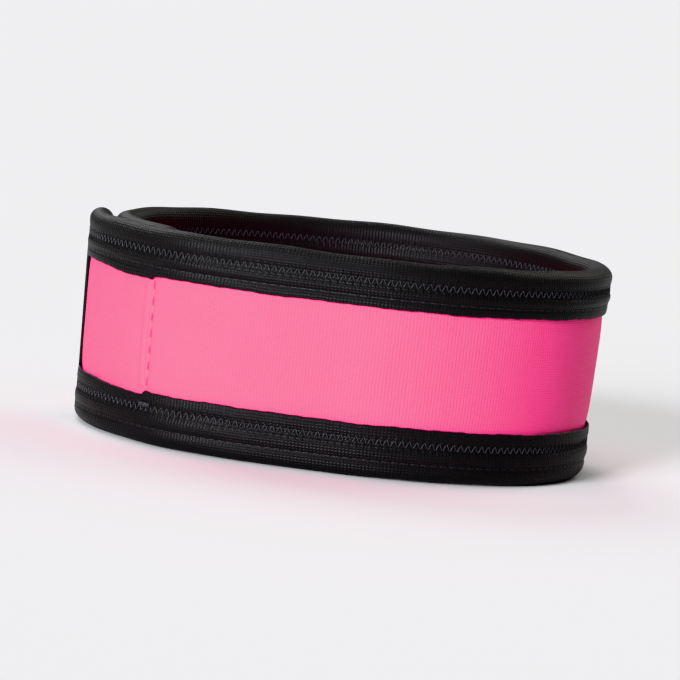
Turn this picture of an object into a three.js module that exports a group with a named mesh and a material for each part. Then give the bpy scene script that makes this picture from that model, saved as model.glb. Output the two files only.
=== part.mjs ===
// A bicep band: one strip of knit-faced foam with bound edges, wrapped round the upper arm
// and closed where its ends overlap.
// Millimetres. +Z runs up the arm, +X is the front of the arm and -Y its outer side.
// The lower edge lies at z = 0, which is the surface that the band stands on.
// Angles are in degrees round the arm, seen from above: 0 is the front, 90 the side next to the body,
// 180 the back and 270 the outer side.
import * as THREE from "three";

const HEIGHT = 50.8; // two inches, from edge to edge
const GAP = 0.3; // clearance between neighbouring pieces

// The hollow for the arm: an egg-shaped oval that grows a little from the lower edge to the upper one
const ARM = {
  depthLow: 104.8, // front to back at the lower edge
  depthHigh: 108, // front to back at the upper edge
  widthShare: 0.9, // side to side, as a share of the depth
  egg: 0.1, // by this share the front half is wider from side to side, and the back half narrower
};

// How the strip lies: it starts at its under end, runs once round the arm by the front
// and passes over that end
const WRAP = {
  underEnd: 222,
  flapEnd: -190, // 170 degrees, a little past the back
  liftFrom: -90, // 270 degrees, where the outer turn begins to leave the arm
  liftTo: -136, // 224 degrees, where it has risen clear of the under end
  step: 4.5, // between two sections
};

// The edge tape folds over the foam, with a leg on either face
const TAPE = {
  thickness: 0.9, // of one leg
  fold: 1.2, // of the folded edge
  lowWidth: 12.5, // height of the leg at the lower edge
  highWidth: 11.5,
  endWidth: 10, // length of the leg at the strip's two ends
  edgeRadius: 1.9, // rounding of the folded edge
  cornerRadius: 5, // of the strip's corners
};

// The foam lies between the tape's legs, a gap away from them
const FOAM = {
  thickness: 3.4,
  faceInset: TAPE.thickness + GAP,
  edgeInset: TAPE.fold + GAP,
  endInset: 2,
};

// The closure is a patch of hook and loop between the two layers, as tall as the bare stripe
const PATCH = { from: 209, to: 181, thickness: 2.1, margin: 0.4 };

// Distances from the strip's end at which sections follow its rounding
const END_STEPS = [0, 0.3, 0.7];
const CORNER_STEPS = [2.6, 3.8, TAPE.cornerRadius];

const CLOSED_DEPTH = 0.05; // what is left of the tape's groove where it is closed at the strip's ends
const ROUNDEST = 0.45; // the folded edge's largest rounding, as a share of its thickness

const wall = FOAM.thickness + 2 * FOAM.faceInset; // of the bound edge
const lift = wall + GAP; // of the outer turn where it lies on the under end

// A point at this angle and height, d millimetres outside the arm, along the oval's own normal
function around(angle, z, d) {
  const a = THREE.MathUtils.degToRad(angle);
  const halfDepth = THREE.MathUtils.lerp(ARM.depthLow, ARM.depthHigh, z / HEIGHT) / 2;
  const halfWidth = halfDepth * ARM.widthShare;
  const side = 1 + ARM.egg * Math.cos(a);
  const alongX = -halfDepth * Math.sin(a);
  const alongY = halfWidth * (Math.cos(a) * side - ARM.egg * Math.sin(a) ** 2);
  const speed = Math.hypot(alongX, alongY);
  return new THREE.Vector3(
    halfDepth * Math.cos(a) + (d * alongY) / speed,
    halfWidth * Math.sin(a) * side - (d * alongX) / speed,
    z,
  );
}

// The same on the strip, whose outer turn is lifted
function onStrip(angle, z, d) {
  const rise = THREE.MathUtils.smoothstep(WRAP.liftFrom - angle, 0, WRAP.liftFrom - WRAP.liftTo);
  return around(angle, z, d + lift * rise);
}

// Millimetres of strip in one degree at either end, halfway up and halfway through the wall
function lengthOfDegree(angle) {
  const half = [-0.5, 0.5].map((side) => onStrip(angle + side, HEIGHT / 2, wall / 2));
  return half[0].distanceTo(half[1]);
}

const ends = {
  under: { angle: WRAP.underEnd, inward: -1 / lengthOfDegree(WRAP.underEnd) },
  flap: { angle: WRAP.flapEnd, inward: 1 / lengthOfDegree(WRAP.flapEnd) },
};

// Sections along the strip: close together at these distances from an end, evenly spaced in between
function stations(nearEnd) {
  const angleOf = (end, distance) => end.angle + end.inward * distance;
  const atEnd = (end) => nearEnd.map((distance) => ({ distance, angle: angleOf(end, distance) }));
  const start = atEnd(ends.under);
  const finish = atEnd(ends.flap).reverse();
  const from = start.at(-1).angle;
  const turn = from - finish[0].angle;
  const count = Math.round(turn / WRAP.step);
  const between = Array.from({ length: count - 1 }, (_, i) => ({
    distance: Infinity,
    angle: from - (turn * (i + 1)) / count,
  }));
  return [...start, ...between, ...finish];
}

// How far the outline of a rounded corner lies from the long edge, at this distance from the strip's end
function cornerRise(distance, inset) {
  const r = TAPE.cornerRadius;
  return distance >= r ? inset : r - Math.sqrt((r - inset) ** 2 - (r - distance) ** 2);
}

// How far the folded end has drawn in from each face, at this distance from the strip's end
function endPinch(distance) {
  const r = TAPE.edgeRadius;
  return distance >= r ? 0 : r - Math.sqrt(r ** 2 - (r - distance) ** 2);
}

// A quarter circle of the folded edge, as points about a centre
function quarter(x, y, radius, startAngle) {
  return [0, 30, 60, 90].map((turn) => {
    const a = THREE.MathUtils.degToRad(startAngle + turn);
    return new THREE.Vector2(x + radius * Math.cos(a), y + radius * Math.sin(a));
  });
}

// A closed solid through outlines of as many points each: sides between neighbours and a face over each end
function loft(outlines, place) {
  const size = outlines[0].length;
  const points = outlines.flatMap((outline, i) => outline.map((p) => place(p, i)));
  const faces = [];
  for (let i = 0; i + 1 < outlines.length; i++) {
    for (let j = 0; j < size; j++) {
      const [a, b] = [i * size + j, i * size + ((j + 1) % size)];
      faces.push([a, b, b + size], [a, b + size, a + size]);
    }
  }
  const last = (outlines.length - 1) * size;
  for (const [a, b, c] of THREE.ShapeUtils.triangulateShape(outlines[0], [])) faces.push([c, b, a]);
  for (const [a, b, c] of THREE.ShapeUtils.triangulateShape(outlines.at(-1), [])) {
    faces.push([last + a, last + b, last + c]);
  }
  const geometry = new THREE.BufferGeometry().setFromPoints(points);
  geometry.setIndex(faces.flat());
  geometry.computeVertexNormals();
  return geometry;
}

// Turns outlines in (outward, up) into a solid that runs along the strip
function alongStrip(sections, outlineAt) {
  const outlines = sections.map((section) => outlineAt(section));
  return loft(outlines, (p, i) => onStrip(sections[i].angle, p.y, p.x));
}

// The outline of a flat strip: its inner and outer face, and its low and high edge
function rectangle(inner, outer, low, high) {
  return [[inner, low], [outer, low], [outer, high], [inner, high]].map((p) => new THREE.Vector2(...p));
}

// The foam stripe: a flat strip whose corners are rounded like the tape's
function foamStripe() {
  const sections = stations([FOAM.endInset, ...CORNER_STEPS]);
  return alongStrip(sections, ({ distance }) => {
    const low = cornerRise(distance, FOAM.edgeInset);
    return rectangle(FOAM.faceInset, wall - FOAM.faceInset, low, HEIGHT - low);
  });
}

// The tape over one long edge: a folded edge with two legs, closed at both ends of the strip
function edgeTape(width, isHigh) {
  const closedTo = TAPE.fold;
  const openFrom = FOAM.endInset - GAP;
  const nearEnd = [...END_STEPS, closedTo, openFrom, FOAM.endInset, ...CORNER_STEPS];
  return alongStrip(stations(nearEnd), ({ distance }) => {
    const [inner, outer] = [endPinch(distance), wall - endPinch(distance)];
    const radius = Math.min(TAPE.edgeRadius, ROUNDEST * (outer - inner));
    const bend = cornerRise(distance, 0) + radius;
    const floor = distance <= closedTo ? width - CLOSED_DEPTH : cornerRise(distance, TAPE.fold);
    const leg = TAPE.thickness;
    const outline = [
      new THREE.Vector2(inner, width),
      ...quarter(inner + radius, bend, radius, 180),
      ...quarter(outer - radius, bend, radius, 270),
      new THREE.Vector2(outer, width),
      new THREE.Vector2(outer - leg, width),
      new THREE.Vector2(outer - leg, floor),
      new THREE.Vector2(inner + leg, floor),
      new THREE.Vector2(inner + leg, width),
    ];
    if (isHigh) outline.reverse().forEach((p) => (p.y = HEIGHT - p.y));
    return outline;
  });
}

// The tape over one end of the strip, between the two long edges: a folded end with two legs,
// as outlines in plan
function endTape(end) {
  const leg = TAPE.thickness;
  const bend = TAPE.edgeRadius;
  const along = [TAPE.endWidth, (2 * TAPE.endWidth) / 3, TAPE.endWidth / 3];
  const face = (d, places) => places.map((distance) => new THREE.Vector2(distance, d));
  const outline = [
    ...face(wall, along),
    ...quarter(bend, wall - bend, bend, 90),
    ...quarter(bend, bend, bend, 180),
    ...face(0, along.toReversed()),
    ...face(leg, [...along, FOAM.endInset - GAP]),
    ...face(wall - leg, [FOAM.endInset - GAP, ...along.toReversed()]),
  ];
  const levels = [TAPE.lowWidth + GAP, HEIGHT - TAPE.highWidth - GAP];
  if (end.inward > 0) levels.reverse(); // the outline is mirrored at this end
  return loft([outline, outline], (p, i) => onStrip(end.angle + end.inward * p.x, levels[i], p.y));
}

// The hook-and-loop patch between the stripe's outer face and the inner face of the turn above it
function closurePatch() {
  const inner = wall - FOAM.faceInset + GAP;
  const low = TAPE.lowWidth + PATCH.margin;
  const high = HEIGHT - TAPE.highWidth - PATCH.margin;
  const outline = rectangle(inner, inner + PATCH.thickness, low, high);
  const count = Math.round((PATCH.from - PATCH.to) / WRAP.step);
  const outlines = Array(count + 1).fill(outline);
  const angle = (i) => THREE.MathUtils.lerp(PATCH.from, PATCH.to, i / count);
  return loft(outlines, (p, i) => around(angle(i), p.y, p.x));
}

const pinkKnit = new THREE.MeshStandardMaterial({ color: 0xe8628f, roughness: 0.75, metalness: 0 });
const blackTape = new THREE.MeshStandardMaterial({ color: 0x17171a, roughness: 0.7, metalness: 0 });
const hookAndLoop = new THREE.MeshStandardMaterial({ color: 0x0d0d0e, roughness: 0.95, metalness: 0 });

const pieces = [
  ["stripe_panel", foamStripe(), pinkKnit],
  ["top_binding", edgeTape(TAPE.highWidth, true), blackTape],
  ["bottom_binding", edgeTape(TAPE.lowWidth, false), blackTape],
  ["flap_end_binding", endTape(ends.flap), blackTape],
  ["under_end_binding", endTape(ends.under), blackTape],
  ["closure_pad", closurePatch(), hookAndLoop],
];

const band = new THREE.Group();
for (const [name, geometry, material] of pieces) {
  const mesh = new THREE.Mesh(geometry, material.clone());
  mesh.name = name;
  band.add(mesh);
}

// The origin is under the middle of the band's box
const middle = new THREE.Box3().setFromObject(band).getCenter(new THREE.Vector3());
band.position.set(-middle.x, -middle.y, 0);

export default band;
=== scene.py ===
import math

import bpy
import numpy as np
from mathutils import Matrix, Vector


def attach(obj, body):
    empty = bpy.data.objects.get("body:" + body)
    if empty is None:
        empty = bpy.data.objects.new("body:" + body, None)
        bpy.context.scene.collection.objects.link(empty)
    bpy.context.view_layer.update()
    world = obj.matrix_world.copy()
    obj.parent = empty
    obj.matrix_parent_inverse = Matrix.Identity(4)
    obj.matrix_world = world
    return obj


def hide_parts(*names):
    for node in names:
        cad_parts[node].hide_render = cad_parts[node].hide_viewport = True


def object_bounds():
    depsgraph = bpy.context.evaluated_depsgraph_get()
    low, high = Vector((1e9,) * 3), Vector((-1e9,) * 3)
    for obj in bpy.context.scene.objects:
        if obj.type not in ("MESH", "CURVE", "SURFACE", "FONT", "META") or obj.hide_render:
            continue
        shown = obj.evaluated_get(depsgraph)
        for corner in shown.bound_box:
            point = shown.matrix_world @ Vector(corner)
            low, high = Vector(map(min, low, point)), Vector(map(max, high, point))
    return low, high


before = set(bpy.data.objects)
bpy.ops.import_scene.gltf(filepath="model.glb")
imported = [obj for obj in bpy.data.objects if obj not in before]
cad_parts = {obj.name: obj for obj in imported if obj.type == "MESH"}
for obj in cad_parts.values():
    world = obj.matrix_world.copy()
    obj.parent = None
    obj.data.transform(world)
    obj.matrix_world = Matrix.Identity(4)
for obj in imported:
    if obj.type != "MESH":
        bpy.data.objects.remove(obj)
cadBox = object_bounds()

mm = 0.001

# The strap: one strip wound round the arm's oval, from its under end by the front to the flap on top of it
strap = dict(
    height=50.8 * mm,
    wall=5.8 * mm,          # bound edge, tape on both faces
    lift=6.1 * mm,          # outer turn above the arm
    depthLow=104.8 * mm,    # hollow, front to back, at the lower edge
    depthHigh=108.0 * mm,
    widthShare=0.9,
    egg=0.1,
    underEnd=222.0,         # degrees round the arm, 0 at the front
    flapEnd=-190.0,
    liftFrom=-90.0,
    liftTo=-136.0,
    ripple=0.4 * mm,        # how far worn cloth strays from the oval
    highWaves=((3, 1.0, 0.6), (5, 0.6, 2.1), (8, 0.35, 0.9)),  # waves to a turn, share, phase
    lowWaves=((2, 1.0, 1.9), (5, 0.5, 4.4), (9, 0.35, 3.0)),
    flareFrom=-177.0,       # past the closure the flap's end stands off a little
    flare=1.1 * mm,
    fineSteps=6000,         # for measuring its length
)

# The tape that binds all four edges, and its rows of stitches
tape = dict(
    leg=0.9 * mm,
    endWidth=10.0 * mm,
    hem=0.43 * mm,          # rounding of its hems
    foamEdge=1.3 * mm,      # where its groove for the foam ends, from the bound edge
    corner=5.0 * mm,        # rounding of the strip's corners
    mitre=44.6,             # degrees, a hair under half a corner, so that two tapes don't touch there
    mitreLoss=4.0 * mm,     # of an end tape's length, at either corner
    rowDepth=0.4 * mm,
    rowSpread=1.05 * mm,
    pull=0.16 * mm,         # how far each stitch of the zigzag pulls the tape in
    pullAt=1.0 * mm,        # and how far off the row
    pullSpread=0.5 * mm,
    plainDepth=0.26 * mm,
    plainSpread=0.6 * mm,
    plainFrom=10 * mm,      # the plain row's groove starts here, from the strip's ends
    plainFull=18 * mm,
    swell=0.26 * mm,        # how far the tape bulges between its rows
    swellShare=0.36,        # its spread, as a share of the way from row to row
    uneven=0.18,            # share by which rows and swell vary along the tape
    unevenWaves=(9.3, 17.1, 31.2),
    hemDrop=0.16 * mm,      # how far the hem sinks into the foam
    hemFade=2.6 * mm,
    innerShare=0.7,         # how deep all this is on the inner face, as a share of the outer one's
    endChange=12 * mm,      # from a corner, where an end's zigzag starts to pass to the other edge's inset
)
tapeSteps = dict(
    outerLeg=31,            # points on the outline
    innerLeg=17,
    roll=13,
    hem=7,
    arc=12,                 # rows from the mitre to a little past the arc
    pastArc=1.2 * mm,
    spread=24,              # rows from there to where they run straight across
    straightFrom=20 * mm,
    long=1100,              # rows along the rest of a long tape
    end=150,                # rows along an end tape
)
highEdge = dict(
    isHigh=True,
    width=11.5 * mm,
    row=5.6 * mm,           # zigzag row, from the bound edge
    plainRow=9.2 * mm,
    slack=0.3 * mm,         # how far the fold hangs back, on average
    seed=21,
)
lowEdge = dict(
    isHigh=False,
    width=12.5 * mm,
    row=8.7 * mm,
    plainRow=4.3 * mm,
    slack=0.12 * mm,
    seed=31,
)


def smooth(x, low, high):  # 0 below low, 1 above high, a smooth step between them
    t = np.clip((x - low) / (high - low), 0.0, 1.0)
    return t * t * (3.0 - 2.0 * t)


def bump(x, centre, spread):  # a bell of height 1 at centre
    return np.exp(-(((x - centre) / spread) ** 2))


def waves(x, lengths, seed):  # sines of these wavelengths in mm with fixed phases, summed and kept within 1
    phases = np.random.default_rng(seed).uniform(0, 2 * np.pi, len(lengths))
    return sum(np.sin(2 * np.pi * x / (l * mm) + p) for l, p in zip(lengths, phases)) / len(lengths)


def turnWaves(t, rows):  # sines with whole waves to a turn, each with its share and phase, summed
    return sum(share * np.sin(count * t + phase) for count, share, phase in rows)


def runningLength(path):  # length along a path up to each of its points
    return np.concatenate([[0.0], np.cumsum(np.linalg.norm(np.diff(path, axis=0), axis=1))])


# x = a cos t and y = b sin t (1 + egg cos t) for the oval, whose a and b grow with height, then d along the
# oval's outward normal. The cloth strays from it in slow waves round the arm, unlike ones at its two edges
def around(angle, z, d):
    t = np.radians(angle)
    up = z / strap["height"]
    stray = turnWaves(t, strap["highWaves"]) * up + turnWaves(t, strap["lowWaves"]) * (1 - up)
    d = d + strap["ripple"] * stray / 2
    a = (strap["depthLow"] + (strap["depthHigh"] - strap["depthLow"]) * up) / 2
    b = a * strap["widthShare"]
    side = 1 + strap["egg"] * np.cos(t)
    alongX = -a * np.sin(t)
    alongY = b * (np.cos(t) * side - strap["egg"] * np.sin(t) ** 2)
    speed = np.hypot(alongX, alongY)
    x = a * np.cos(t) + d * alongY / speed
    y = b * np.sin(t) * side - d * alongX / speed
    return np.stack(np.broadcast_arrays(x, y, z), axis=-1)


# The oval again, raised by the lift where the outer turn lies on the under end. The flap's end rises a
# little more, and its upper corner twice as far as its lower one
def onTurn(angle, z, d):
    rise = smooth(strap["liftFrom"] - angle, 0.0, strap["liftFrom"] - strap["liftTo"])
    free = smooth(strap["flareFrom"] - angle, 0.0, strap["flareFrom"] - strap["flapEnd"])
    flare = strap["flare"] * free * (1 + z / strap["height"]) / 2
    return around(angle, z, d + strap["lift"] * rise + flare)


# Length along the strip against the angle, measured halfway up and halfway through the wall
fineAngles = np.linspace(strap["underEnd"], strap["flapEnd"], strap["fineSteps"] + 1)
fineLength = runningLength(onTurn(fineAngles, strap["height"] / 2, strap["wall"] / 2))
stripLength = fineLength[-1]

# The CAD's origin is under the middle of its box, so the oval moves there
edgeAngles, edgeHeights = np.meshgrid(fineAngles, [0.0, strap["height"]])
outermost = onTurn(edgeAngles, edgeHeights, strap["wall"]).reshape(-1, 3)
boxMiddle = np.array([*(outermost.max(0)[:2] + outermost.min(0)[:2]) / 2, 0.0])


def angleAt(s):  # the angle at a length along the strip, read off between the fine steps
    return np.interp(s, fineLength, fineAngles)


def lengthAt(angle):  # and the length at an angle
    return np.interp(-angle, -fineAngles, fineLength)


def onStrip(s, z, d):  # a point of the strip: s along it from the under end, z up, d out from the arm
    return onTurn(angleAt(s), z, d) - boxMiddle


def outward(s, z, d):  # the outward direction there, as the step from d to a little more
    little = 0.1 * mm
    step = onStrip(s, z, d + little) - onStrip(s, z, d)
    return step / np.linalg.norm(step, axis=-1, keepdims=True)


def signedVolume(points, quads):  # six times the volume: the sum over triangles of a . (b x c)
    a, b, c, d = (points[quads[:, i]] for i in range(4))
    return float((a * (np.cross(b, c) + np.cross(c, d))).sum())


def addObject(name, data):
    thing = bpy.data.objects.new(name, data)
    bpy.context.scene.collection.objects.link(thing)
    return thing


# A mesh from points, quads and end caps, with one texture coordinate for each corner. The quads are
# shaded smooth and the caps flat
def makePiece(name, points, quads, quadUv, caps, capUv):
    corners = np.concatenate([quads.ravel(), *caps]).astype(np.int32)
    sizes = np.concatenate([np.full(len(quads), 4), [len(c) for c in caps]])
    starts = np.concatenate([[0], np.cumsum(sizes)[:-1]]).astype(np.int32)
    uv = np.concatenate([quadUv.reshape(-1, 2), *capUv]).astype(np.float32)
    mesh = bpy.data.meshes.new(name)
    mesh.vertices.add(len(points))
    mesh.vertices.foreach_set("co", points.astype(np.float32).ravel())
    mesh.loops.add(len(corners))
    mesh.loops.foreach_set("vertex_index", corners)
    mesh.polygons.add(len(sizes))
    mesh.polygons.foreach_set("loop_start", starts)
    mesh.polygons.foreach_set("use_smooth", np.arange(len(sizes)) < len(quads))
    mesh.uv_layers.new(name="fabric").data.foreach_set("uv", uv.ravel())
    mesh.update(calc_edges=True)
    mesh.validate()
    return addObject(name, mesh)


# A closed outline carried along a path. points[i, j] is corner j of the outline at place i; the sides
# join neighbours, a cap closes each end, and the whole is turned to face outwards
def carried(name, points, alongU, roundV):
    rows, columns = points.shape[:2]
    i, j = np.meshgrid(np.arange(rows - 1), np.arange(columns), indexing="ij")
    k = (j + 1) % columns
    here, ahead = i * columns, (i + 1) * columns
    quads = np.stack([here + j, here + k, ahead + k, ahead + j], -1).reshape(-1, 4)
    u = alongU if np.ndim(alongU) == 2 else alongU[:, None]
    u = np.broadcast_to(u, (rows, columns))
    quadU = np.stack([u[i, j], u[i, k], u[i + 1, k], u[i + 1, j]], -1)
    quadV = np.stack([roundV[j], roundV[j + 1], roundV[j + 1], roundV[j]], -1)
    quadUv = np.stack([quadU, quadV], -1).reshape(-1, 4, 2)
    ring = np.arange(columns)
    caps = [ring[::-1], (rows - 1) * columns + ring]
    capUv = [np.stack([u[0], roundV[:-1]], -1)[::-1], np.stack([u[-1], roundV[:-1]], -1)]
    flat = points.reshape(-1, 3)
    if signedVolume(flat, quads) < 0:
        quads, quadUv = quads[:, ::-1], quadUv[:, ::-1]
        caps, capUv = [c[::-1] for c in caps], [c[::-1] for c in capUv]
    return makePiece(name, flat, quads, quadUv, caps, capUv)


def outlineLength(outline):  # running length round a closed outline, one more value than it has corners
    return runningLength(np.concatenate([outline, outline[:1]]))


# A round thread: at each point of the path a ring of that radius, across the path's direction
def threadTube(path, out, radius, sides=6):
    along = np.gradient(path, axis=0)
    along /= np.linalg.norm(along, axis=1, keepdims=True)
    across = np.cross(along, out)
    across /= np.linalg.norm(across, axis=1, keepdims=True)
    up = np.cross(across, along)
    turn = np.arange(sides) * 2 * np.pi / sides
    ring = np.cos(turn)[None, :, None] * across[:, None] + np.sin(turn)[None, :, None] * up[:, None]
    return path[:, None] + radius * ring


# Several tubes joined into one piece
def threadPiece(name, tubes, radius):
    pieces = []
    for index, tube in enumerate(tubes):
        roundV = np.linspace(0.0, 2 * np.pi * radius, tube.shape[1] + 1)
        tubeName = f"{name}{index}" if index else name
        pieces.append(carried(tubeName, tube, runningLength(tube.mean(1)), roundV))
    if len(pieces) > 1:
        with bpy.context.temp_override(active_object=pieces[0], selected_editable_objects=pieces):
            bpy.ops.object.join()
    return pieces[0]


# A visible face of the tape sinks along its zigzag row, a bell across it, and at each stitch a little
# more, on the side where the thread turns. The plain row is a narrower bell, with a swell between the
# two, and both fade out before the strip's ends. The hem sinks a little, and the roll at the bound edge
# stays full
def tapeSink(inset, width, row, s, span, plainRow=None):
    first, last = span
    phase = np.pi * stitchCount(last - first, zigzag["pitch"]) * (s - first) / (last - first)
    pulled = (np.cos(phase) ** 2 * bump(inset, row + tape["pullAt"], tape["pullSpread"])
              + np.sin(phase) ** 2 * bump(inset, row - tape["pullAt"], tape["pullSpread"]))
    uneven = 1 + tape["uneven"] * waves(s, tape["unevenWaves"], seed=4)
    sink = uneven * (tape["rowDepth"] * bump(inset, row, tape["rowSpread"]) + tape["pull"] * pulled)
    sink = sink + smooth(inset, width - tape["hemFade"], width) * tape["hemDrop"]
    if plainRow is not None:
        inside = smooth(np.minimum(s, stripLength - s), tape["plainFrom"], tape["plainFull"])
        between = bump(inset, (row + plainRow) / 2, tape["swellShare"] * abs(row - plainRow))
        groove = tape["plainDepth"] * bump(inset, plainRow, tape["plainSpread"])
        sink = sink + inside * (groove - tape["swell"] * uneven * between)
    return sink


def faceDepth(sink, onOuter):  # how far out from the arm a face of the tape is, sunk by so much
    return strap["wall"] - sink if onOuter else tape["innerShare"] * sink


# Tapes of unlike widths meet in a mitre: past the corner's rounding, an inset on one is stretched by the
# ratio of what is left of their widths
def matched(inset, width, otherWidth):
    corner = tape["corner"]
    stretch = (otherWidth - corner) / (width - corner)
    return np.where(inset <= corner, inset, corner + (inset - corner) * stretch)


def heightOf(edge, inset):  # the height at an inset from this edge, and the inset at a height
    return strap["height"] - inset if edge["isHigh"] else inset


def rowSpan(edge):  # the lengths at which an edge's zigzag starts and stops, on the end tapes' rows
    first = matched(edge["row"], edge["width"], tape["endWidth"])
    return first, stripLength - first


def edgeSink(edge, inset, s):
    return tapeSink(inset, edge["width"], edge["row"], s, rowSpan(edge), edge["plainRow"])


# The tape's outline in (inset from the bound edge, d out from the arm): outer leg, half round, inner leg,
# hem, groove for the foam, hem
def tapeOutline(width):
    wall, leg, hem = strap["wall"], tape["leg"], tape["hem"]
    roll, hemLine = wall / 2, width - hem
    outer = np.linspace(hemLine, roll, tapeSteps["outerLeg"])
    inner = np.linspace(roll, hemLine, tapeSteps["innerLeg"])
    rollTurn = np.linspace(0, np.pi, tapeSteps["roll"])[1:-1]
    hemTurn = np.linspace(0, np.pi, tapeSteps["hem"])[1:-1]
    hemInset, hemOut = hemLine + hem * np.sin(hemTurn), leg / 2 - leg / 2 * np.cos(hemTurn)
    parts = [
        (outer, np.full_like(outer, wall)),
        (roll - roll * np.sin(rollTurn), roll + roll * np.cos(rollTurn)),
        (inner, np.zeros_like(inner)),
        (hemInset, hemOut),
        ([hemLine, tape["foamEdge"]], [leg, leg]),
        ([tape["foamEdge"], hemLine], [wall - leg, wall - leg]),
        (hemInset, wall - leg + hemOut),
    ]
    return np.concatenate([np.stack(part, -1) for part in parts])


# The tape's cut width: its two legs and the half round between them, in the middle of its thickness
def unfolded(width):
    return 2 * (width - strap["wall"] / 2) + np.pi * (strap["wall"] - tape["leg"]) / 2


# How far each corner of that outline moves out: only what lies on one of the two visible faces sinks
def outlineShift(outline, sink):
    wall, leg = strap["wall"], tape["leg"]
    outer = np.clip((outline[:, 1] - (wall - leg)) / leg, 0, 1)
    inner = np.clip((leg - outline[:, 1]) / leg, 0, 1)
    return sink * (tape["innerShare"] * inner - outer)


# From the mitre at a corner: an arc about the corner's centre for what lies within its rounding, then
# straight on. Rows are spaced evenly along that way to a little past the arc. Gives each row's distance
# from the end, and its inset
def cornerArc(inset, width):
    corner, mitre = tape["corner"], np.radians(tape["mitre"])
    centreE = np.maximum(corner, matched(inset, width, tape["endWidth"]))
    centreZ = np.maximum(corner, inset)
    radius = np.maximum(corner - inset, 0)
    way = (radius * mitre + tapeSteps["pastArc"]) * np.linspace(0, 1, tapeSteps["arc"])[:, None]
    turn = np.maximum(mitre - way / np.maximum(radius, 1e-9), 0)  # a radius of 0 has no turn
    straight = np.maximum(way - radius * mitre, 0)
    return centreE - radius * np.sin(turn) + straight, centreZ - radius * np.cos(turn)


# The same, followed by rows that spread out from there to where they run straight across the tape
def cornerRows(inset, width):
    e, z = cornerArc(inset, width)
    spread = np.linspace(0, 1, tapeSteps["spread"])[1:, None]
    e = np.concatenate([e, e[-1] + (tapeSteps["straightFrom"] - e[-1]) * spread])
    z = np.concatenate([z, inset * np.ones_like(spread)])
    return e, z


# The seam is a stitched line down the outer turn, over the under end
seam = dict(
    angle=-137.5,
    pitch=3.8 * mm,
    dash=1.9 * mm,
    radius=0.2 * mm,
    above=0.12 * mm,
    dive=0.5 * mm,
    samples=14,
    margin=0.2 * mm,        # from either tape's hem
    valley=0.46 * mm,
    valleySpread=0.65 * mm,
    ridge=0.42 * mm,
    ridgeAt=1.5 * mm,       # past the seam
    ridgeSpread=0.95 * mm,
    gather=0.12 * mm,       # how far the thread draws the face in around it
    gatherSpread=4 * mm,
    hemDip=0.26 * mm,
    dipSpread=1.1 * mm,
    hemStep=0.9 * mm,       # the hems lie lower past the seam
    stepFrom=-0.6 * mm,
    stepTo=0.8 * mm,
    backFrom=4 * mm,        # and come back to their line
    backTo=24 * mm,
)
seamPlace = lengthAt(seam["angle"])

wear = dict(
    wander=0.16 * mm,       # of the outer hem
    wanderWaves=(13.7, 22.6, 41.0),
    flutter=0.07 * mm,
    flutterWaves=(3.1, 5.3),
    slackWaves=(23.0, 47.0, 89.0),
    hemFrom=0.6,            # shares of the tape's width
    foldTo=0.4,
)


# A long edge's insets as worn: the outer hem wanders in waves, dips at the seam in a bell and steps down
# past it, and the fold hangs back in slow waves. Both moves fade out across the tape
def worn(edge, inset, s, onOuter):
    hemShare = smooth(inset, wear["hemFrom"] * edge["width"], edge["width"]) * onOuter
    foldShare = 1 - smooth(inset, 0, wear["foldTo"] * edge["width"])
    wander = wear["wander"] * waves(s, wear["wanderWaves"], edge["seed"])
    flutter = wear["flutter"] * waves(s, wear["flutterWaves"], edge["seed"] + 2)
    dip = seam["hemDip"] * bump(s, seamPlace, seam["dipSpread"])
    past = smooth(s, seamPlace + seam["stepFrom"], seamPlace + seam["stepTo"])
    back = smooth(s, seamPlace + seam["backFrom"], seamPlace + seam["backTo"])
    step = seam["hemStep"] * past * (1 - back)
    slack = edge["slack"] * (1 + waves(s, wear["slackWaves"], edge["seed"] + 1))
    hemMove = wander + flutter + dip + (step if edge["isHigh"] else -step)
    return inset + hemShare * hemMove + foldShare * slack


# Tape over a long edge: its outline carried from one end's mitre to the other's, sunk and worn
def longTape(name, edge):
    outline = tapeOutline(edge["width"])
    flatInset, straight = outline[:, 0], tapeSteps["straightFrom"]
    e, inset = cornerRows(flatInset, edge["width"])
    middle = np.linspace(straight, stripLength - straight, tapeSteps["long"])[1:-1, None]
    s = np.concatenate([e, middle * np.ones_like(flatInset), stripLength - e[::-1]])
    inset = np.concatenate([inset, flatInset * np.ones_like(middle), inset[::-1]])
    inset = worn(edge, inset, s, outline[:, 1] > strap["wall"] / 2)
    d = outline[:, 1] + outlineShift(outline, edgeSink(edge, flatInset, s))
    return carried(name, onStrip(s, heightOf(edge, inset), d), s, outlineLength(outline))


# Where the zigzag row runs over an end: its inset passes from the lower edge's row to the upper one's
def endRowInset(z):
    share = np.clip((z - tape["endChange"]) / (strap["height"] - 2 * tape["endChange"]), 0, 1)
    return rowSpan(lowEdge)[0] * (1 - share) + rowSpan(highEdge)[0] * share


endSpan = (lowEdge["row"], heightOf(highEdge, highEdge["row"]))


def endSink(inset, z):
    return tapeSink(inset, tape["endWidth"], endRowInset(z), z, endSpan)


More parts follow.
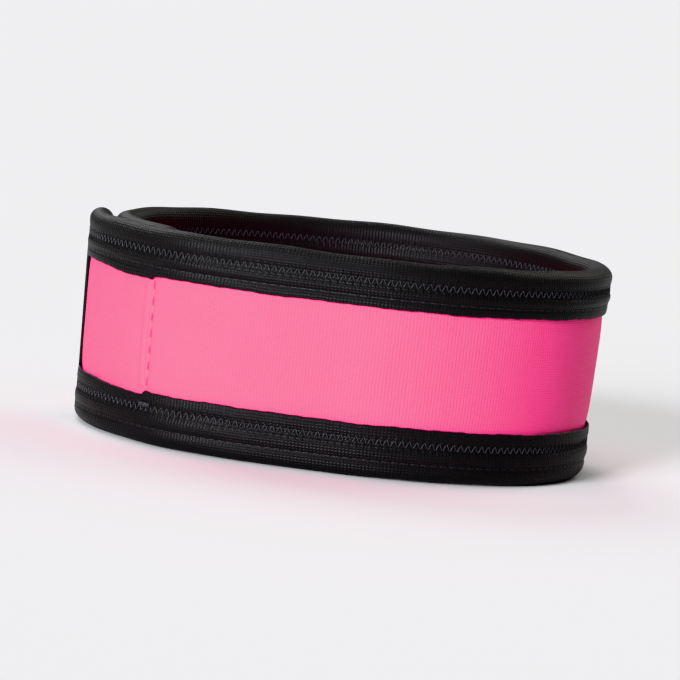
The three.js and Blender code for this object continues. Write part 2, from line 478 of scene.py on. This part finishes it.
# Tape over an end of the strip, from the lower corner's mitre to the upper one's: the same arc as on a
# long tape, with its two directions swapped, and its centre moved in for the long tape's wider inset
def endTape(name, isFlap):
    outline = tapeOutline(tape["endWidth"])
    inset = outline[:, 0]
    arcZ, arcE = cornerArc(inset, tape["endWidth"])
    centre = np.maximum(tape["corner"], inset)
    lowShift, highShift = (
        np.maximum(tape["corner"], matched(inset, tape["endWidth"], edge["width"])) - centre
        for edge in (lowEdge, highEdge)
    )
    lowArc, highArc = lowShift + arcZ, strap["height"] - highShift - arcZ[::-1]
    straight = np.linspace(0, 1, tapeSteps["end"])[1:-1, None]
    z = np.concatenate([lowArc, lowArc[-1] + (highArc[0] - lowArc[-1]) * straight, highArc])
    e = np.concatenate([arcE, inset * np.ones_like(straight), arcE[::-1]])
    d = outline[:, 1] + outlineShift(outline, endSink(inset, z))
    s = stripLength - e if isFlap else e
    return carried(name, onStrip(s, z, d), z, outlineLength(outline))


foam = dict(
    inner=1.2 * mm,         # its two faces, out from the arm
    outer=4.6 * mm,
    edge=1.5 * mm,          # inside the tape's folds
    end=2.0 * mm,
    crown=0.42 * mm,        # how far the bare face swells between the tapes
    crownRise=2.2 * mm,     # the way from a hem over which most of that rises
    innerCrown=0.25 * mm,
    innerSpread=12 * mm,
    pucker=0.06 * mm,       # beside the hems
    puckerReach=3 * mm,
    puckerWaves=(4.7, 7.1, 11.3),
    drift=0.1 * mm,         # over the whole face, in waves that lean
    driftWaves=(27.0, 43.0, 71.0),
    lean=0.4,
    places=620,             # rows along the strip
    endPlaces=8,
    seamPlaces=90,
    seamReach=9 * mm,
    levels=56,              # points up the outer face, one in three of them up the inner
    innerSkip=3,
    sideSteps=5,
)


# The bare face swells quickly from either hem, wanders a little, and dips at the seam beside a low ridge
def foamSwell(s, z):
    fromLow = np.maximum(z - lowEdge["width"], 0)
    fromHigh = np.maximum(strap["height"] - highEdge["width"] - z, 0)
    bare = (1 - np.exp(-fromLow / foam["crownRise"])) * (1 - np.exp(-fromHigh / foam["crownRise"]))
    nearHem = np.exp(-fromLow / foam["puckerReach"]) + np.exp(-fromHigh / foam["puckerReach"])
    pucker = foam["pucker"] * nearHem * waves(s, foam["puckerWaves"], seed=11)
    drift = foam["drift"] * waves(s + foam["lean"] * z, foam["driftWaves"], seed=12)
    valley = seam["valley"] * bump(s, seamPlace, seam["valleySpread"])
    ridge = seam["ridge"] * bump(s, seamPlace + seam["ridgeAt"], seam["ridgeSpread"])
    gather = seam["gather"] * bump(s, seamPlace, seam["gatherSpread"])
    return bare * (foam["crown"] + drift + pucker - valley + ridge - gather)


# A strip with an outer and an inner face, whose rows lie closer at its ends and at the seam. Its height
# follows the corners' arcs, its outer face swells, and its inner face bulges in a bell
def foamStripe():
    corner, end, half = tape["corner"], foam["end"], strap["height"] / 2
    nearEnd = end + (corner - end) * np.linspace(0, 1, foam["endPlaces"]) ** 2
    nearSeam = seamPlace + foam["seamReach"] * np.linspace(-1, 1, foam["seamPlaces"])
    between = np.linspace(corner, stripLength - corner, foam["places"])
    s = np.unique(np.concatenate([nearEnd, between, stripLength - nearEnd, nearSeam]))[:, None]
    e = np.minimum(s, stripLength - s)
    arc = np.sqrt(np.maximum((corner - foam["edge"]) ** 2 - np.maximum(corner - e, 0) ** 2, 0))
    low = np.where(e >= corner, foam["edge"], corner - arc)
    outer = np.linspace(-1, 1, foam["levels"])
    inner = outer[::-foam["innerSkip"]]
    side = np.linspace(0, 1, foam["sideSteps"])[1:-1]
    level = np.concatenate([outer, np.ones_like(side), inner, -np.ones_like(side)])
    outerShare = np.concatenate([np.ones_like(outer), 1 - side, np.zeros_like(inner), side])
    z = half + level * (half - low)
    d = foam["inner"] + (foam["outer"] - foam["inner"]) * outerShare
    d = d + (outerShare == 1) * foamSwell(s, z)
    d = d - (outerShare == 0) * foam["innerCrown"] * bump(z, half, foam["innerSpread"])
    outline = np.stack([level * half, outerShare * (foam["outer"] - foam["inner"])], -1)
    return carried("stripePanel", onStrip(s, z, d), s[:, 0], outlineLength(outline))


closure = dict(
    fromAngle=209.0,
    toAngle=181.0,
    inner=4.9 * mm,
    thick=2.1 * mm,
    margin=0.4 * mm,        # from either tape
    bulge=0.25 * mm,        # the mated pile rounds the slab's rim
    places=60,
    levels=30,
    sideSteps=6,
)


# The closure between the two layers: a slab bent round the oval, whose rim bulges in half a sine wave
def closurePatch():
    angles = np.linspace(closure["fromAngle"], closure["toAngle"], closure["places"])
    low = lowEdge["width"] + closure["margin"]
    high = strap["height"] - highEdge["width"] - closure["margin"]
    level = np.linspace(0, 1, closure["levels"])
    side = np.linspace(0, 1, closure["sideSteps"])[1:-1]
    up = np.concatenate([level, np.ones_like(side), level[::-1], np.zeros_like(side)])
    outer = np.concatenate([np.ones_like(level), 1 - side, np.zeros_like(level), side])
    rim = (up == 0) | (up == 1)
    z = low + (high - low) * up + rim * closure["bulge"] * np.sin(np.pi * outer) * np.sign(up - 0.5)
    d = closure["inner"] + closure["thick"] * outer
    points = around(angles[:, None], z[None, :], d[None, :]) - boxMiddle
    outline = np.stack([up * (high - low), outer * closure["thick"]], -1)
    return carried("closurePatch", points, lengthAt(angles), outlineLength(outline))


# Zigzag thread: the inset swings to and fro about the row, and the thread dives where it turns
zigzag = dict(pitch=1.7 * mm, swing=0.92 * mm, radius=0.17 * mm, above=0.12 * mm, dive=0.4 * mm, samples=10)

# Plain thread: it shows for the dash and dives for the rest of each stitch
plain = dict(pitch=2.2 * mm, dash=1.7 * mm, radius=0.13 * mm, above=0.05 * mm, dive=0.42 * mm, samples=9,
             margin=14 * mm)

# The bar tack where the seam meets the lower tape: a short dense zigzag
tack = dict(pitch=0.5 * mm, swing=0.736 * mm, radius=0.16 * mm, above=0.34 * mm, dive=0.3 * mm, samples=8,
            length=3.4 * mm, below=3.1 * mm, past=0.8 * mm)

turnSharpness = 10  # power of the swing by which a zigzag thread dives
dashFade = 0.22     # share of half a stitch over which a plain thread dives


def triangleWave(x):  # 1 at whole numbers, -1 halfway between them
    return 4 * np.abs((x % 1) - 0.5) - 1


def stitchCount(length, pitch):
    return max(2, round(abs(length) / pitch))


# A thread from first to last. place turns (way along, swing across) into (s, z), and depth gives how far
# out the cloth is there. The swing is a triangle wave
def zigzagRow(first, last, place, depth, outSign=1, style=zigzag):
    turns = stitchCount(last - first, style["pitch"])
    t = np.linspace(0, 1, turns * style["samples"] + 1)
    swing = triangleWave(t * turns)
    lift = style["above"] - style["dive"] * np.abs(swing) ** turnSharpness
    s, z = place(first + (last - first) * t, swing * style["swing"])
    d = depth(s, z) + outSign * lift
    return threadTube(onStrip(s, z, d), outSign * outward(s, z, d), style["radius"])


# The same for straight stitches in line, with smooth steps down at the ends of each dash
def plainThread(first, last, place, depth, outSign=1, style=plain):
    count = stitchCount(last - first, style["pitch"])
    t = np.linspace(0, 1, count * style["samples"] + 1)
    fromMiddle = np.abs(2 * ((t * count) % 1) - 1)
    share = style["dash"] / style["pitch"]
    lift = style["above"] - style["dive"] * smooth(fromMiddle, share - dashFade, share + dashFade)
    s, z = place(first + (last - first) * t, 0)
    d = depth(s, z) + outSign * lift
    return threadTube(onStrip(s, z, d), outSign * outward(s, z, d), style["radius"])


# The zigzag and the plain row over a long edge, on either face of the tape
def longRows(edge, onOuter):
    def placeAt(inset):
        return lambda s, swing: (s, heightOf(edge, inset + swing))

    def depth(s, z):
        return faceDepth(edgeSink(edge, heightOf(edge, z), s), onOuter)

    sign = 1 if onOuter else -1
    return [
        zigzagRow(*rowSpan(edge), placeAt(edge["row"]), depth, sign),
        plainThread(plain["margin"], stripLength - plain["margin"], placeAt(edge["plainRow"]), depth, sign),
    ]


# The zigzag over an end of the strip
def endRow(isFlap, onOuter):
    def place(z, swing):
        e = endRowInset(z) + swing
        return (stripLength - e if isFlap else e), z

    def depth(s, z):
        return faceDepth(endSink(stripLength - s if isFlap else s, z), onOuter)

    return zigzagRow(*endSpan, place, depth, 1 if onOuter else -1)


# The seam's stitches, over the bare foam alone
def seamThread():
    def place(z, swing):
        return np.full_like(z, seamPlace), z

    def depth(s, z):
        return foam["outer"] + foamSwell(s, z)

    low = lowEdge["width"] + seam["margin"]
    high = strap["height"] - highEdge["width"] - seam["margin"]
    return plainThread(low, high, place, depth, style=seam)


# The bar tack runs along the lower tape, back over the seam
def seamTack():
    def place(s, swing):
        return s, lowEdge["width"] - tack["below"] + swing

    def depth(s, z):
        return faceDepth(edgeSink(lowEdge, z, s), True)

    start = seamPlace + tack["past"]
    return zigzagRow(start, start - tack["length"], place, depth, style=tack)


# A socket that works in arithmetic: an expression on values adds its Math nodes
class Value:
    def __init__(self, graph, socket):
        self.graph = graph
        self.socket = socket

    def math(self, operation, *others):
        return self.graph.add("ShaderNodeMath", dict(operation=operation), dict(enumerate((self, *others))))

    def mathAfter(self, operation, other):  # the same with this value second
        return self.graph.add("ShaderNodeMath", dict(operation=operation), {0: other, 1: self})

    def __add__(self, other):
        return self.math("ADD", other)

    def __mul__(self, other):
        return self.math("MULTIPLY", other)

    def __sub__(self, other):
        return self.math("SUBTRACT", other)

    def __rsub__(self, other):
        return self.mathAfter("SUBTRACT", other)

    def __truediv__(self, other):
        return self.math("DIVIDE", other)

    def __rtruediv__(self, other):
        return self.mathAfter("DIVIDE", other)

    __radd__ = __add__
    __rmul__ = __mul__

    def sine(self):
        return self.math("SINE")

    def size(self):
        return self.math("ABSOLUTE")

    def fraction(self):
        return self.math("FRACT")

    def limited(self):  # kept between 0 and 1
        return self.graph.add("ShaderNodeClamp", {}, {0: self})


# One material's node tree
class Graph:
    def __init__(self, name, **finish):
        self.material = bpy.data.materials.new(name)
        self.material.use_nodes = True
        self.tree = self.material.node_tree
        self.shader = self.tree.nodes["Principled BSDF"]
        for socket, value in finish.items():
            self.shader.inputs[socket.replace("_", " ")].default_value = value

    # A node of any type: its settings first, then the values or links of its sockets
    def add(self, kind, settings, inputs, output=0):
        node = self.tree.nodes.new(kind)
        for setting, value in settings.items():
            setattr(node, setting, value)
        for key, value in inputs.items():
            if isinstance(value, Value):
                self.tree.links.new(value.socket, node.inputs[key])
            else:
                node.inputs[key].default_value = value
        return Value(self, node.outputs[output])

    def mix(self, factor, a, b):  # sockets 6 and 7 are the node's two colours, and output 2 its result
        return self.add("ShaderNodeMix", dict(data_type="RGBA"), {0: factor, 6: a, 7: b}, 2)

    def noise(self, vector, scale, detail):
        return self.add("ShaderNodeTexNoise", {}, dict(Vector=vector, Scale=scale, Detail=detail))

    def place(self):  # the object's own coordinates, in metres
        return self.add("ShaderNodeTexCoord", {}, {}, "Object")

    def fabric(self):  # (u along the cloth, v across it), in metres
        uv = self.add("ShaderNodeUVMap", dict(uv_map="fabric"), {})
        parts = self.add("ShaderNodeSeparateXYZ", {}, {0: uv})
        return parts, Value(self, parts.socket.node.outputs[1])

    def bump(self, height, strength, distance):
        return self.add("ShaderNodeBump", {}, dict(Height=height, Strength=strength, Distance=distance))

    def finish(self, **links):
        for socket, value in links.items():
            self.tree.links.new(value.socket, self.shader.inputs[socket.replace("_", " ")])
        return self.material


def rgb(r, g, b):
    return (r, g, b, 1.0)


jersey = dict(slant=0.9, loopShare=0.55, grooveShare=0.45, patchDetail=3.0, fuzzDetail=2.0)


# Jersey: columns of small slanted loops, a column to each wale and a row to each course, with a groove
# between columns. A loop is a sine wave along the column, shifted by the distance from its middle
def knit(u, v, wale, course):
    across = (u / wale).fraction()
    slant = (across - 0.5).size() * jersey["slant"]
    loops = ((v / course + slant) * (2 * math.pi)).sine() * 0.5 + 0.5
    groove = (across * math.pi).sine()
    return loops * jersey["loopShare"] + groove * jersey["grooveShare"]


# A knit's colour and relief. shadeShares are of the loops, of soft patches and of fuzz. The loops' share is
# painted shade: darker in the knit's grooves and loop troughs, lighter on its crests, where the relief also
# rises. The patches and fuzz are the cloth's own uneven tone
def knitFinish(look, loops):
    g = loops.graph
    patches = g.noise(g.place(), look["patchScale"], jersey["patchDetail"])
    fuzz = g.noise(g.place(), look["fuzzScale"], jersey["fuzzDetail"])
    loopShare, patchShare, fuzzShare = look["shadeShares"]
    paintedShadeAndTone = loops * loopShare + patches * patchShare + fuzz * fuzzShare + look["shadeShift"]
    height = loops * look["loopHeight"] + fuzz * look["fuzzHeight"]
    # painted shade: the colour darker in the knit's grooves and loop troughs and lighter on its crests,
    # mixed with the cloth's own uneven tone
    colour = g.mix(paintedShadeAndTone.limited(), look["dark"], look["light"])
    return g.finish(Base_Color=colour, Normal=g.bump(height, look["bump"], look["bumpDepth"]))


def pinkKnit():
    look = dict(
        dark=rgb(0.84, 0.045, 0.17),
        light=rgb(0.96, 0.093, 0.305),
        wale=0.75 * mm,
        course=0.6 * mm,
        patchScale=55.0,
        fuzzScale=1400.0,
        shadeShares=(0.55, 0.4, 0.2),
        shadeShift=0.0,
        loopHeight=0.7,
        fuzzHeight=0.5,
        bump=0.8,
        bumpDepth=0.18 * mm,
    )
    g = Graph("pinkKnit", Roughness=0.6, Specular_IOR_Level=0.22)
    u, v = g.fabric()
    return knitFinish(look, knit(u, v, look["wale"], look["course"]))


# Its loops run across the tape
def blackTape():
    look = dict(
        dark=rgb(0.0041, 0.004, 0.0038),
        light=rgb(0.0165, 0.0162, 0.0155),
        wale=0.7 * mm,
        course=0.8 * mm,
        patchScale=90.0,
        fuzzScale=1200.0,
        shadeShares=(0.45, 0.35, 0.35),
        shadeShift=-0.1,
        loopHeight=0.8,
        fuzzHeight=0.5,
        bump=0.85,
        bumpDepth=0.2 * mm,
    )
    g = Graph("blackTape", Roughness=0.47, Specular_IOR_Level=0.17)
    u, v = g.fabric()
    return knitFinish(look, knit(v, u, look["wale"], look["course"]))


# Sewing thread: a twist that winds along it, a sine wave in both of the cloth's directions. Its colour is
# painted shade that follows the twist's relief: darker in the grooves between the plies, lighter on their
# crests
def threadFinish(name, dark, light, roughness):
    look = dict(twistLength=0.55 * mm, twistRound=1.0 * mm, bump=0.5, bumpDepth=0.06 * mm)
    g = Graph(name, Roughness=roughness, Specular_IOR_Level=0.4)
    u, v = g.fabric()
    turns = u / look["twistLength"] + v / look["twistRound"]
    twist = (turns * (2 * math.pi)).sine() * 0.5 + 0.5
    normal = g.bump(twist, look["bump"], look["bumpDepth"])
    # painted shade: the thread darker in its twist's grooves and lighter on the crests
    return g.finish(Base_Color=g.mix(twist, dark, light), Normal=normal)


# Pressed pile: fine cells, darkest between them
def hookPile():
    look = dict(
        pile=rgb(0.03, 0.03, 0.032),
        between=rgb(0.008, 0.008, 0.008),
        cellScale=1500.0,
        bump=0.8,
        bumpDepth=0.4 * mm,
    )
    g = Graph("hookPile", Roughness=0.95)
    cells = g.add("ShaderNodeTexVoronoi", {}, dict(Vector=g.place(), Scale=look["cellScale"]))
    colour = g.mix(cells, look["pile"], look["between"])
    return g.finish(Base_Color=colour, Normal=g.bump(cells, look["bump"], look["bumpDepth"]))


# A piece gets its finish, rides on the band's one body, and takes the place of its CAD node
def dress(piece, material, slotName, *nodes):
    piece.data.materials.clear()
    piece.data.materials.append(material)
    if nodes:
        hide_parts(*nodes)
    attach(piece, "root")
    faces = sum(len(p.vertices) - 2 for p in piece.data.polygons)
    print(f"{piece.name}: {faces} triangles")
    return piece


tapeCloth = blackTape()
blackThread = threadFinish("blackThread", rgb(0.008, 0.008, 0.009), rgb(0.035, 0.035, 0.037), 0.45)
pinkThread = threadFinish("pinkThread", rgb(0.4, 0.03, 0.13), rgb(0.6, 0.06, 0.22), 0.5)

print("foam stripe")
stripePanel = dress(foamStripe(), pinkKnit(), "pink_knit_foam", "stripe_panel")

print("tapes")
endLength = strap["height"] - 2 * tape["mitreLoss"]
tapes = [  # piece, the node that it replaces, width of a leg, length
    (longTape("topTape", highEdge), "top_binding", highEdge["width"], stripLength),
    (longTape("bottomTape", lowEdge), "bottom_binding", lowEdge["width"], stripLength),
    (endTape("flapEndTape", True), "flap_end_binding", tape["endWidth"], endLength),
    (endTape("underEndTape", False), "under_end_binding", tape["endWidth"], endLength),
]
for piece, node, width, length in tapes:
    dress(piece, tapeCloth, "black_edge_tape", node)
    unfolded(width)

print("closure")
dress(closurePatch(), hookPile(), "hook_and_loop", "closure_pad")

print("stitching")
bothFaces = (True, False)
topRows = [row for face in bothFaces for row in longRows(highEdge, face)]
lowRows = [row for face in bothFaces for row in longRows(lowEdge, face)]
endRows = [endRow(isFlap, face) for isFlap in (True, False) for face in bothFaces]
blackStitching = [
    ("topTapeStitching", topRows, zigzag),
    ("bottomTapeStitching", lowRows, zigzag),
    ("endTapeStitching", endRows, zigzag),
    ("seamTack", [seamTack()], tack),
]
for name, tubes, style in blackStitching:
    dress(threadPiece(name, tubes, style["radius"]), blackThread, "black_edge_tape")
dress(threadPiece("seamStitching", [seamThread()], seam["radius"]), pinkThread, "pink_knit_foam")

print("studio")
studio = dict(
    floorSize=60.0,
    floorColour=rgb(0.78, 0.78, 0.78),
    world=rgb(1.0, 1.0, 1.0),
    worldStrength=0.14,
    azimuth=0.0,
    elevation=6.0,
    roll=6.5,
    lens=220.0,
    sensor=36.0,
    fill=0.77,              # of the frame's width
)
lights = [  # name, azimuth it shines from, elevation, how wide it looks in degrees, strength, colour
    ("key", -28.0, 14.0, 22.0, 6.2, (0.99, 0.99, 1.05)),
    ("top", -40.0, 74.0, 40.0, 0.6, (1.0, 1.0, 1.0)),
    ("back", 208.0, 40.0, 34.0, 1.5, (1.0, 1.0, 1.0)),
    ("side", 138.0, 36.0, 38.0, 1.1, (1.0, 0.98, 0.95)),
]


def direction(azimuth, elevation):  # unit vector towards a viewer there; azimuth 0 looks along +Y
    a, e = math.radians(azimuth), math.radians(elevation)
    return Vector((math.sin(a) * math.cos(e), -math.cos(a) * math.cos(e), math.sin(e)))


def makeFloor():
    half = studio["floorSize"] / 2
    corners = [(-half, -half, 0), (half, -half, 0), (half, half, 0), (-half, half, 0)]
    mesh = bpy.data.meshes.new("floor")
    mesh.from_pydata(corners, [], [(0, 1, 2, 3)])
    floor = addObject("floor", mesh)
    floor.data.materials.append(Graph("paper", Roughness=0.9, Base_Color=studio["floorColour"]).material)


def makeLight(name, azimuth, elevation, wide, strength, colour):
    lamp = bpy.data.lights.new(name, "SUN")
    lamp.energy = strength
    lamp.color = colour
    lamp.angle = math.radians(wide)
    addObject(name, lamp).rotation_euler = direction(azimuth, elevation).to_track_quat("Z", "Y").to_euler()


# The camera stands so far off that the given width fills its share of the frame, and is rolled a little
def makeCamera(centre, width):
    lens = bpy.data.cameras.new("camera")
    lens.lens = studio["lens"]
    lens.sensor_width = studio["sensor"]
    camera = addObject("camera", lens)
    towards = direction(studio["azimuth"], studio["elevation"])
    camera.location = centre + towards * (width / studio["fill"] * studio["lens"] / studio["sensor"])
    turn = towards.to_track_quat("Z", "Y").to_matrix().to_4x4()
    camera.rotation_euler = (turn @ Matrix.Rotation(math.radians(studio["roll"]), 4, "Z")).to_euler()
    bpy.context.scene.camera = camera


def makeWorld():
    world = bpy.data.worlds.new("studio")
    world.use_nodes = True
    background = world.node_tree.nodes["Background"]
    background.inputs["Color"].default_value = studio["world"]
    background.inputs["Strength"].default_value = studio["worldStrength"]
    bpy.context.scene.world = world


boxLow, boxHigh = cadBox
makeFloor()
for light in lights:
    makeLight(*light)
makeCamera((boxLow + boxHigh) / 2, boxHigh.x - boxLow.x)
makeWorld()
bpy.context.scene.view_settings.view_transform = "Khronos PBR Neutral"

print("cad box", [[round(x, 5) for x in c] for c in cadBox])
